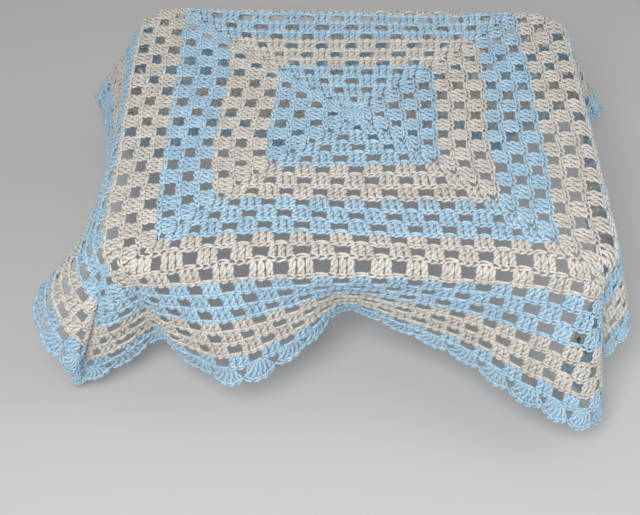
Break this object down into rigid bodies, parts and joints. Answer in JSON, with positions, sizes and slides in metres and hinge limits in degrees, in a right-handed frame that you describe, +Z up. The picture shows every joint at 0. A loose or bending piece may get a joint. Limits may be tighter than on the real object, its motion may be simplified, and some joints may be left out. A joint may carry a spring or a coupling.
{
  "type": "crocheted blanket",
  "caption": "Square crocheted granny-square blanket in striped yarn rounds with a shell edging, draped over a rectangular table top with hanging skirts.",
  "frame": {"origin": "the blanket's centre on its underside, in the plane where it rests on the table top", "axes": "+X to the blanket's right, +Y to its back as seen from the front, +Z up off the table top"},
  "size_m": [0.6452, 0.5737, 0.247],
  "materials": {
    "blue_yarn": "soft matt acrylic yarn, plied, light blue",
    "beige_yarn": "soft matt acrylic yarn, plied, ecru beige"
  },
  "bodies": {
    "root": {"centre_ring": "blue_yarn", "blue_round_1": "blue_yarn", "blue_round_2": "blue_yarn", "blue_round_3": "blue_yarn", "blue_round_4": "blue_yarn", "blue_round_5": "blue_yarn", "beige_round_6": "beige_yarn", "beige_round_7": "beige_yarn", "beige_round_8": "beige_yarn", "blue_round_9": "blue_yarn", "blue_round_10": "blue_yarn", "blue_round_11": "blue_yarn", "beige_round_12": "beige_yarn", "beige_round_13": "beige_yarn", "beige_round_14": "beige_yarn", "blue_round_15": "blue_yarn", "blue_round_16": "blue_yarn", "blue_round_17": "blue_yarn", "beige_round_18": "beige_yarn", "beige_round_19": "beige_yarn", "beige_round_20": "beige_yarn", "blue_round_21": "blue_yarn", "shell_edging": "blue_yarn"}
  },
  "joints": []
}
